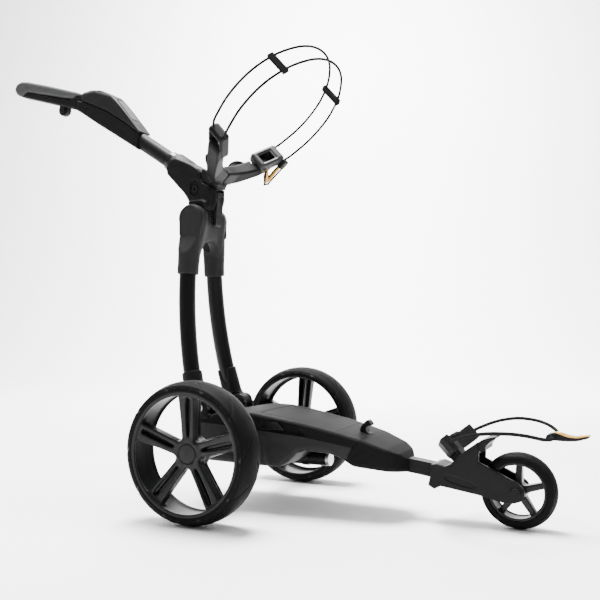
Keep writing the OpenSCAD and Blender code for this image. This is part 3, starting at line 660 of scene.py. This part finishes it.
def bracket(x, y, z):
    """Left one: fork of two round lugs on the body"""
    c = 84.6
    d = np.abs(y - c)
    lug = rounded(np.hypot(x + 82, z - 220) - 18.5, np.abs(d - 17.8) - 4.4, 2)
    foot = rounded(np.maximum(np.abs(x + 81) - 20, np.abs(z - 208) - 11), np.abs(d - 17.8) - 4.4, 2)
    base = box(x, y, z, (-81, c, 202), (22, 22, 2.5), 1.5)
    return smin(smin(lug, foot, 6), base, 6)


solid("post_mount", bracket, (-110, 56, 196), (-54, 112, 244), 1.2, "frame_black", "chassis",
      ["post_brackets"], mirror=True)


def post_axis(z):
    x = -146 + 1120 - math.sqrt(1120 ** 2 - (530 - z) ** 2)
    return (x, 59 + (530 - z) * math.tan(math.radians(4.7)), z)


def sleeve(x, y, z):
    a, b = np.array(post_axis(240)), np.array(post_axis(299))
    d = capsule(x, y, z, a, b + (b - a) * 0.5, 24, 23)
    cut = ((x - b[0]) * (b - a)[0] + (y - b[1]) * (b - a)[1] + (z - b[2]) * (b - a)[2]) / np.linalg.norm(b - a)
    d = smax(d, cut, 2.5)
    hub = round_y(x, y, z, -82, 220, 17.6, 72, 97, 1.5)
    d = smin(d, hub, 14)
    d = smax(d, np.abs(y - 84.6) - 24.5, 1)
    low = np.hypot(x + 82, z - 220)
    d = np.where(low < 22, np.maximum(d, np.abs(y - 84.6) - 12.8), d)
    tube_cut = capsule(x, y, z, post_axis(246), post_axis(330), 19.52)
    return smax(d, -tube_cut, 0.8)


solid("post_foot", sleeve, (-152, 52, 198), (-58, 116, 306), 1.3, "frame_black", "posts", ["lower_sleeves"],
      mirror=True)

# ---------- yoke ----------


def yoke(x, y, z):
    a = np.abs(y)
    leg = chain(x, a, z, [post_axis(q) for q in (505, 540, 585)] + [(-142, 47, 635)],
                [24.5, 24.8, 26.5, 30], 2)
    ear = round_y(x, a, z, -141, 660, 33, 36.5, 58, 3)
    d = smin(leg, ear, 12)
    wall = prism(x, a, z, soft_corners([(-140, 578), (-124, 578), (-112, 640), (-109, 660), (-112, 679),
                                        (-140, 679)], 1),
                 -46, 46, 4)
    d = smin(d, wall, 9)
    d = smax(d, a - 58 - 0.5 * np.maximum(622 - z, 0), 3)
    arch = np.hypot(a, z - 575) - 33
    arch = np.where(z < 575, a - 33, arch)
    d = smax(d, -arch, 7)
    d = smax(d, -np.maximum(a - 37.2, np.maximum(x + 141, 588 - z)), 1.5)
    d = smax(d, -np.maximum(np.hypot(x + 141, z - 660) - 29.2, a - 37.2), 1)
    dip = np.hypot(a / 1.3, z - 700) - 26
    d = smax(d, -dip, 5)
    lever = np.maximum(a - 16, np.maximum(-112 - x, 640 - z))
    d = smax(d, -lever, 1.5)
    axis = np.array(post_axis(527)) - post_axis(528)
    cut = (x + 146) * axis[0] + (a - 59) * axis[1] + (z - 527) * axis[2]
    d = smax(d, cut, 2)
    bore = capsule(x, a, z, post_axis(500), post_axis(536), 19.6)
    hole = np.maximum(np.hypot(y, z - 633) - 2.0, -116 - x)
    return smax(smax(d, -bore, 0.8), -hole, 0.4)


solid("yoke_casting", yoke, (-178, -88, 520), (-100, 88, 698), 1.5, "yoke_grey", "posts", ["yoke"])


def ear_cover(x, y, z):
    d = np.minimum(np.hypot(x + 141, z - 660) - 30.5, box(x, 0 * y, z, (-141, 0, 643), (29.5, 9, 27), 9))
    return rounded(d, np.abs(np.abs(y) - 59) - 2, 1.4)


solid("ear_plate", lambda x, y, z: ear_cover(x, y, z), (-174, 55, 610), (-106, 64, 694), 1.0, "yoke_grey",
      "posts", ["ear_covers"], mirror=True)

# ---------- neck ----------
FOOT, TOP = np.array((-200, 0, 790.0)), np.array((-340, 0, 880.0))
RUN = (TOP - FOOT) / np.linalg.norm(TOP - FOOT)


def neck(x, y, z):
    a = np.abs(y)
    side = soft_corners([(-170, 664), (-159, 692), (-177, 722), (-203, 748), (-236, 782), (-212, 816),
                         (-166, 799), (-133, 778), (-131, 751), (-104, 738), (-104, 678), (-150, 678)], 1)
    d = prism(x, a, z, side, -30, 30, 7)
    face = prism(x, a, z, [(-112, 742), (-93, 731), (-93, 706), (-99, 684), (-106, 678), (-120, 678)],
                 -21.5, 21.5, 4)
    d = smin(d, face, 6)
    root = prism(x, a, z, soft_corners([(-166, 664), (-159, 692), (-163, 704), (-114, 704), (-116, 678),
                                        (-150, 678)], 1),
                 -36.8, 36.8, 3)
    d = smin(d, root, 8)
    d = smin(d, round_y(x, a, z, -141, 660, 28.4, -36.8, 36.8, 1.5), 3)
    end = capsule(x, a, z, FOOT - 8 * RUN, FOOT + 28 * RUN, 29)
    end = smax(end, (x - FOOT[0]) * RUN[0] + (z - FOOT[2]) * RUN[2] - 27, 3)
    d = smin(d, end, 8)
    d = smax(d, -capsule(x, a, z, FOOT, TOP, 20.15), 1)
    d = smax(d, -box(x, a, z, (-94, 0, 684), (23, 15.6, 45), 1.5), 1.5)
    q = np.hypot(x + 148, np.maximum(np.abs(z - 735) - 10, 0)) - 11.5
    d = smax(d, -rounded(q, np.abs(a - 33) - 7.5, 2), 1.5)
    return d


solid("neck_casting", neck, (-242, -42, 628), (-84, 42, 826), 1.5, "frame_black", "upper_frame",
      ["folding_neck"])


def lever(x, y, z):
    blade = [(-12, 10), (2, 12), (7, 4), (4, -34), (2, -50), (3, -62), (1, -72), (-5, -74), (-8, -50),
             (-8, -34), (-12, 0)]
    d = prism(x + 99, y, z - 716, soft_corners(blade, 1), -15, 15, 2)
    return smax(d, -(box(x, y, z, (-92.5, 0, 692), (2, 9, 22), 1.5)), 1.5)


solid("fold_handle", lever, (-116, -17, 638), (-88, 17, 732), 1.0, "frame_black", "lever", ["fold_lever"])


def cradle(x, y, z):
    u, v, n = in_cradle(x, y, z)
    u = np.abs(u)
    arm = soft_corners([(0, 430), (22, 426), (58, 450), (92, 482), (126, 514), (114, 531), (86, 508),
                        (58, 486), (30, 472), (0, 466)], 2)
    grow = np.clip((u - 40) / 55, 0, 1)
    d = rounded(poly(u, v, arm), np.abs(n - 628 + 5 * grow) - 15 - 5 * grow, 5)
    for k, (cu, cv) in enumerate(((44, 459), (68, 480), (91, 501))):
        c, s = math.cos(math.radians(43)), math.sin(math.radians(43))
        p, q = (u - cu) * c + (v - cv) * s, -(u - cu) * s + (v - cv) * c
        pocket = np.maximum(np.maximum(np.abs(p) - 7.5, np.abs(q) - 9 + 0.3 * k), 629 - n)
        d = smax(d, -pocket, 2.5)
    p, q = (u - 56) * 0.73 + (v - 470) * 0.68, -(u - 56) * 0.68 + (v - 470) * 0.73
    ring = np.hypot(p / 1.25, n - 640)
    loop = rounded(np.maximum(ring - 19, 14.5 - ring), np.abs(q) - 8, 2)
    d = smin(d, loop, 3)
    seat = prism(x, np.abs(y), z, soft_corners([(-129.5, 752.6), (-107.8, 740.8), (-97, 750), (-104, 772),
                                                (-131, 784)], 1), -29,
                 29, 5)
    seat2 = prism(x, np.abs(y), z, [(-110, 742), (-92, 731.8), (-88, 742), (-100, 765), (-112, 765)], -22,
                  22, 4)
    return smin(d, smin(seat, seat2, 4), 9)


solid("bag_cradle", cradle, (-140, -134, 726), (0, 134, 846), 1.6, "frame_black", "upper_frame",
      ["upper_cradle"])


def pad(x, y, z, backed=False):
    """Right one, in the cradle's axes"""
    u, v, n = in_cradle(x, y, z)
    a, b = np.array((77, 517)), np.array((134, 565))
    run = np.linalg.norm(b - a)
    c, s = (b - a) / run
    p, q = (u - a[0]) * c + (v - a[1]) * s, -(u - a[0]) * s + (v - a[1]) * c
    d = box(p, q, n, (run / 2, -14, 627), (run / 2, 14, 25), 8)
    inner = box(p, q, n, (run / 2 - 3, -19, 627), (run / 2 - 8, 14, 20), 5)
    back = box(p, q, n, (run * 0.72, -25, 627), (run * 0.3, 3, 22), 2)
    window = box(p, q, n, (33, -3, 625), (17, 6, 12), 3)
    dish = box(p, q, n, (34, 1.2, 625), (22, 3.5, 16), 3)
    d = smax(d, -inner, 2)
    if backed:
        d = np.minimum(d, back)
    return smax(smax(d, -window, 2), -dish, 2)


lo, hi = (-110, -160, 776), (20, -52, 880)
# The two pads are one plastic drawn in two shades: the near pad is darker in frame_black and the far pad
# lighter in pad. That difference is painted shade on the near pad, set against the lamp's highlight on its top
# face.
solid("pad_near", pad, lo, hi, 1.4, "frame_black", "upper_frame", ["strap_pad_right"])
solid("pad_far", lambda x, y, z: pad(x, -y, z, True), (lo[0], 52, lo[2]), (hi[0], 160, hi[2]), 1.4, "pad",
      "upper_frame", ["strap_pad_left"])


def hook_up(x, y, z):
    u, v, n = in_cradle(x, y, z)
    n = n - 595
    v_shape = [(-138, 534, 2), (-119, 497, -8), (-112, 492, -8), (-105, 502, -2), (-103, 512, 3)]
    return chain(u, v, n, v_shape, [3.4, 4.2, 5.2, 5.0, 4.0])


def hook_block(x, y, z):
    u, v, n = in_cradle(x, y, z)
    d = box(u, v, n, (-143, 545, 598), (10, 12, 6), 3)
    outer = [(-143, 534, 592), (-121, 488, 581), (-109, 484, 581), (-98.5, 500, 589), (-97.5, 512, 596)]
    inner = [(-134, 536, 600), (-117, 505, 591), (-112, 503, 591), (-109, 512, 599)]
    d = smin(d, chain(u, v, n, outer, [2.2] * 5), 2)
    return smin(d, chain(u, v, n, inner, [1.8] * 4), 2)


solid("strap_hook", hook_up, (-70, 92, 720), (30, 160, 830), 1.0, "hook", "upper_frame",
      ["upper_strap_hook"])
solid("strap_buckle", hook_block, (-70, 92, 716), (30, 164, 830), 1.0, "frame_black", "upper_frame")


def hook_low(x, y, z):
    a = np.abs(y)
    bar = soft_corners([(668, 182), (668, 194), (680, 198), (692, 195), (706, 190.5), (722, 189.5),
                        (744, 195), (746, 190), (722, 182.5), (700, 181)], 1)
    d = prism(x, a, z, bar, -9, 9, 3)
    d = smax(d, -box(x, a, z, (712, 0, 194), (22, 4.5, 7), 3), 2)
    d = smin(d, round_y(x, a, z, 670, 188, 6, -14, 14, 2), 4)
    return d


def hook_lip(x, y, z):
    """Bright insert along the rim of the hook"""
    bar = soft_corners([(684, 195), (682, 199.5), (692, 198), (706, 193.5), (722, 192.5), (745, 197),
                        (748, 193), (722, 187.5), (704, 188)], 1)
    d = prism(x, np.abs(y), z, bar, -8, 8, 2)
    return smax(d, -box(x, np.abs(y), z, (712, 0, 194), (20, 4.2, 9), 3), 1)


solid("foot_hook", hook_low, (658, -18, 176), (752, 18, 204), 1.0, "frame_black", "chassis",
      ["lower_strap_hook"])
solid("foot_hook_lip", hook_lip, (676, -12, 182), (754, 12, 204), 0.9, "hook", "chassis")

# ---------- front end ----------


def fork(x, y, z):
    a = np.abs(y)
    cheek = [(434, 97), (437, 121), (447, 123), (464, 118), (477, 124), (507, 153), (533, 172), (536, 160),
             (535, 133),
             (609, 99), (619, 92), (626, 82), (626, 72), (619, 61), (606, 56), (584, 56), (538, 66),
             (456, 78), (443, 71), (430, 78)]
    d = prism(x, a, z, cheek, 26, 36, 2.2)
    ramp = prism(x, a, z, [(464, 117), (477, 124), (507, 153), (533, 172), (536, 160), (535, 150),
                           (510, 130), (490, 112)],
                 -30, 30, 1.5)
    butt = prism(x, a, z, [(430, 78), (434, 97), (437, 121), (447, 123), (476, 116), (476, 76), (456, 78),
                           (443, 71)],
                 -30, 30, 2)
    d = smin(smin(d, ramp, 2), butt, 2)
    d = np.minimum(d, round_y(x, a, z, 609, 77, 11, 34, 38, 1))
    slot = poly(x, z, soft_corners([(464, 99), (472, 104), (522, 92), (531, 84), (522, 78), (472, 89)], 2))
    d = smax(d, -np.maximum(slot, 34.6 - a), 1.2)
    return smax(d, -(np.hypot(x - 609, z - 77) - 5.05), 0.3)


solid("front_fork", fork, (424, -41, 50), (630, 41, 178), 1.5, "frame_black", "chassis", ["fork"])


def shelf(x, y, z):
    top = soft_corners([(537, 152), (534, 171), (540, 177), (552, 181.5), (570, 186), (571, 182.5),
                        (556, 173), (549, 164), (549, 156)], 1)
    return prism(x, np.abs(y), z, top, -34, 34, 1.5)


solid("bag_rest", shelf, (528, -38, 148), (576, 38, 190), 1.1, "frame_black", "chassis", ["bag_shelf"])


def low_cradle(x, y, z):
    _, v, n = in_cradle(x, y, z)
    a = np.abs(y)
    arm = soft_corners([(0, 438), (28, 440), (52, 450), (78, 463), (92, 470), (97, 482), (90, 492),
                        (80, 487), (60, 471), (38, 458), (0, 454)], 2)
    d = rounded(poly(a, v, arm), np.abs(n + 200) - 17.5, 3)
    foot = box(a, v, n, (0, 453, -214), (20, 13, 19), 4)
    rib = rounded(poly(a, v, soft_corners([(20, 446), (60, 462), (60, 468), (20, 462)], 1)),
                  np.abs(n + 183) - 4, 2)
    return smin(smin(d, foot, 6), rib, 3)


solid("foot_cradle", low_cradle, (446, -100, 120), (522, 100, 202), 1.4, "frame_black", "chassis",
      ["lower_cradle"])

# ---------- handle ----------
LOW = [(-514, 990), (-485, 982), (-420, 954), (-360, 917), (-319, 887), (-321, 845), (-380, 881),
       (-443, 919), (-506, 959), (-518, 966)]
COVER = [(-500, 988.6), (-498, 1007), (-486, 1011), (-468, 1012.5), (-450, 1011.5), (-438, 1008),
         (-402, 990.5), (-388, 977),
         (-330, 909), (-314, 889.5), (-318.5, 887), (-360, 917.6), (-420, 954.6), (-485, 982.6)]


def console_low(x, y, z):
    a = np.abs(y)
    d = prism(x, a, z, LOW, -24, 24, 5)
    groove = chain(x, a, z, [(-398, 25, 922), (-394, 25, 913), (-350, 25, 884), (-342, 25, 890)], [1.6] * 4,
                   1)
    d = smax(d, -groove, 0.8)
    notch = box(x, a, z, (-478, 24, 965), (7, 3, 2), 1)
    d = smax(d, -notch, 1)
    return smax(d, -capsule(x, a, z, FOOT, TOP - RUN, 20.2), 0.8)


solid("console_body", console_low, (-522, -28, 840), (-312, 28, 996), 1.5, "frame_black", "upper_frame",
      ["console_lower"])


def console_top(x, y, z):
    a = np.abs(y)
    d = prism(x, a, z, COVER, -25, 25, 3)
    crease = np.interp(x, [-500, -460, -405, -332, -316], [999, 1003, 984, 919, 889])
    d = smax(d, (a - 25) * 0.8 + (z - crease) * 0.55 - 1.0, 2)
    d = smax(d, -capsule(x, a, z, FOOT, TOP - RUN, 20.2), 0.8)
    screen = prism(x, a, z, [(-492, 1007), (-491, 1025), (-438, 1025), (-441, 1006), (-470, 1009)], -19, 19,
                   1)
    panel = prism(x, a, z, [(-394, 979), (-375, 1000), (-325, 930), (-345, 923)], -15, 15, 1)
    return smax(smax(d, -screen, 0.6), -panel, 0.6)


solid("console_hood", console_top, (-504, -28, 882), (-308, 28, 1018), 1.5, "casting", "upper_frame",
      ["console_cover"])


def grip_low(x, y, z):
    a = np.abs(y)
    side = [(-684, 1031.5), (-540, 996.5), (-523, 1004.5), (-500.6, 998.5), (-500.6, 987), (-514.5, 990.5),
            (-519, 965), (-540, 974), (-582, 986), (-672, 1012), (-712, 1023), (-696, 1033)]
    d = prism(x, a, z, side, -17.5, 17.5, 6)
    d = smax(d, -round_y(x, a, z, -574, 975, 17.3, -9, 9, 0.5), 1)
    lug = rounded(np.minimum(np.hypot(x + 574, z - 975) - 8,
                             box(x, 0 * a, z, (-574, 0, 983), (8, 9, 8), 2)),
                  np.abs(a - 11) - 2, 0.8)
    return smin(d, lug, 2)


solid("grip_frame", grip_low, (-718, -21, 960), (-494, 21, 1040), 1.4, "frame_black", "upper_frame",
      ["grip_core"])


def grip_top(x, y, z):
    a = np.abs(y)
    side = soft_corners([(-694, 1033), (-712, 1023), (-729, 1030), (-738, 1045), (-731, 1060), (-709, 1067),
                         (-622, 1044), (-501, 1008),
                         (-501, 1000), (-523, 1006), (-540, 997.5), (-684, 1032.5)], 1)
    d = prism(x, a, z, side, -19, 19, 8)
    ribs = 0.35 * (np.sin((x + 0.4 * z) * 2 * math.pi / 6.0) > 0.8) * ((x > -690) & (x < -560) & (a > 12))
    seam = np.abs(x + 0.25 * (z - 1040) + 690) - 0.7
    return smax(d + ribs, -np.maximum(seam, -(d + 1.0)), 0.5)


solid("grip_sleeve", grip_top, (-742, -22, 992), (-495, 22, 1071), 1.3, "grip", "upper_frame",
      ["grip_cover"])


def dial(x, y, z):
    r = np.hypot(x + 574, z - 975)
    t = np.arctan2(z - 975, x + 574)
    d = rounded(r - 15.6 - 0.35 * np.cos(24 * t), np.abs(y) - 7.8, 1.5)
    return np.minimum(d, round_y(x, y, z, -574, 975, 2.9, -12, 12, 0.3))


solid("dial_wheel", dial, (-592, -14, 956), (-556, 14, 994), 0.8, "frame_black", "dial", ["speed_dial"])

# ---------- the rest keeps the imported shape, with eased edges ----------
SLOTS = {s["node"]: s["material_slot"] for s in frame["record"]["subparts"]}
for name, ob in NODES.items():
    if ob.hide_render:
        continue
    ob.data.materials.clear()
    ob.data.materials.append(MAT["frame_black" if name in ("front_axle", "front_arm",
                                                           "stem_tube") else SLOTS[name]])
    bv = ob.modifiers.new("edges", "BEVEL")
    bv.width, bv.segments, bv.limit_method = 0.0008, 2, "ANGLE"
    bv.angle_limit = math.radians(50)

# ---------- stage ----------
FLOOR_HALF = 14.0
rows = [(-FLOOR_HALF, 0.0), (-4.0, 0.0), (0.0, 0.0), (3.2, 0.0)]
rows += [(3.2 + 1.8 * math.sin(a), 1.8 * (1 - math.cos(a))) for a in np.linspace(0.1, math.pi / 2,
                                                                                 14)] + [(5.0, 6.0)]
V = [(x, y, z) for y, z in rows for x in (-FLOOR_HALF, FLOOR_HALF)]
F = [(2 * i, 2 * i + 1, 2 * i + 3, 2 * i + 2) for i in range(len(rows) - 1)]
floor_me = bpy.data.meshes.new("floor")
floor_me.from_pydata(V, [], F)
floor_me.shade_smooth()
floor = bpy.data.objects.new("floor", floor_me)
floor.rotation_euler = (0, 0, math.radians(VIEW_TURN))
bpy.context.scene.collection.objects.link(floor)
floor.data.materials.append(material("floor_white", (0.86, 0.86, 0.86), 0.7, grain=40, bump=0.0, vary=0.01))

world = bpy.data.worlds.new("studio")
bpy.context.scene.world = world
world.use_nodes = True
nt = world.node_tree
sky = nt.nodes.new("ShaderNodeTexCoord")
toward = nt.nodes.new("ShaderNodeVectorMath")
toward.operation = "DOT_PRODUCT"
toward.inputs[1].default_value = (-0.35, 0.55, 0.76)
nt.links.new(sky.outputs["Generated"], toward.inputs[0])
fade = nt.nodes.new("ShaderNodeMapRange")
fade.interpolation_type = "SMOOTHSTEP"
fade.inputs["From Min"].default_value, fade.inputs["From Max"].default_value = -0.3, 0.8
fade.inputs["To Min"].default_value, fade.inputs["To Max"].default_value = 0.3, 1.9
nt.links.new(toward.outputs["Value"], fade.inputs["Value"])
nt.links.new(fade.outputs["Result"], nt.nodes["Background"].inputs["Strength"])
nt.nodes["Background"].inputs["Color"].default_value = (1, 1, 1, 1)


def lamp(name, place, target, size, power):
    data = bpy.data.lights.new(name, "AREA")
    data.shape, data.size, data.energy = "DISK", size, power
    ob = bpy.data.objects.new(name, data)
    bpy.context.scene.collection.objects.link(ob)
    ob.location = place
    ob.rotation_euler = (Vector(target) - Vector(place)).to_track_quat("-Z", "Y").to_euler()
    return ob


lamp("top", (-0.3, 0.4, 3.4), (0.1, 0.1, 0), 1.7, 680)
lamp("rim", (-1.9, 0.5, 2.6), (0, 0, 0.3), 1.2, 40)
lamp("backdrop", (-0.6, 2.4, 3.0), (-1.6, 5.4, 1.2), 2.5, 800)
